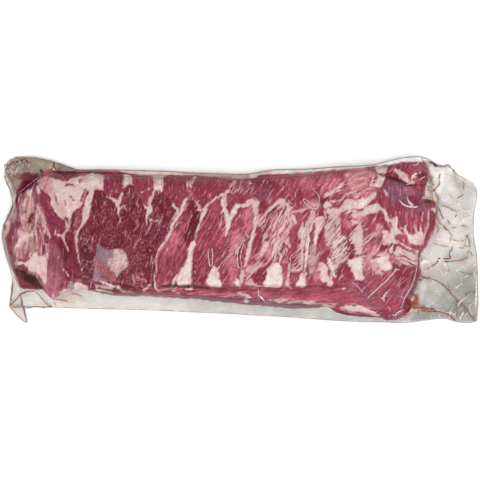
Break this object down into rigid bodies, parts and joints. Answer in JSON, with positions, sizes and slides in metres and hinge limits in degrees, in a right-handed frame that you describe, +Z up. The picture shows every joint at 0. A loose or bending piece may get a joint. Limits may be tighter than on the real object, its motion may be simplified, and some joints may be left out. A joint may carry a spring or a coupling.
{
  "type": "vacuum-packed rack of pork ribs",
  "caption": "Raw rack of pork ribs, trimmed nearly square, vacuum packed in a clear bag with a crumpled margin and lying flat with its meaty side up.",
  "frame": {"origin": "bottom centre of the pack's box, on the surface it lies on", "axes": "+X along the rack towards the wide end of the bag's margin, +Y across the rack towards its straight back edge, +Z up through the thickness"},
  "size_m": [0.46, 0.1614, 0.03],
  "materials": {
    "packed_rack": "raw meat and fat under tight clear film, wet and glossy",
    "raw_pork": "raw muscle with pale fat seams, moist",
    "clear_film": "thin clear film, crumpled at the margin, glossy"
  },
  "bodies": {
    "root": {"sealed_bag": "packed_rack"}
  },
  "joints": []
}
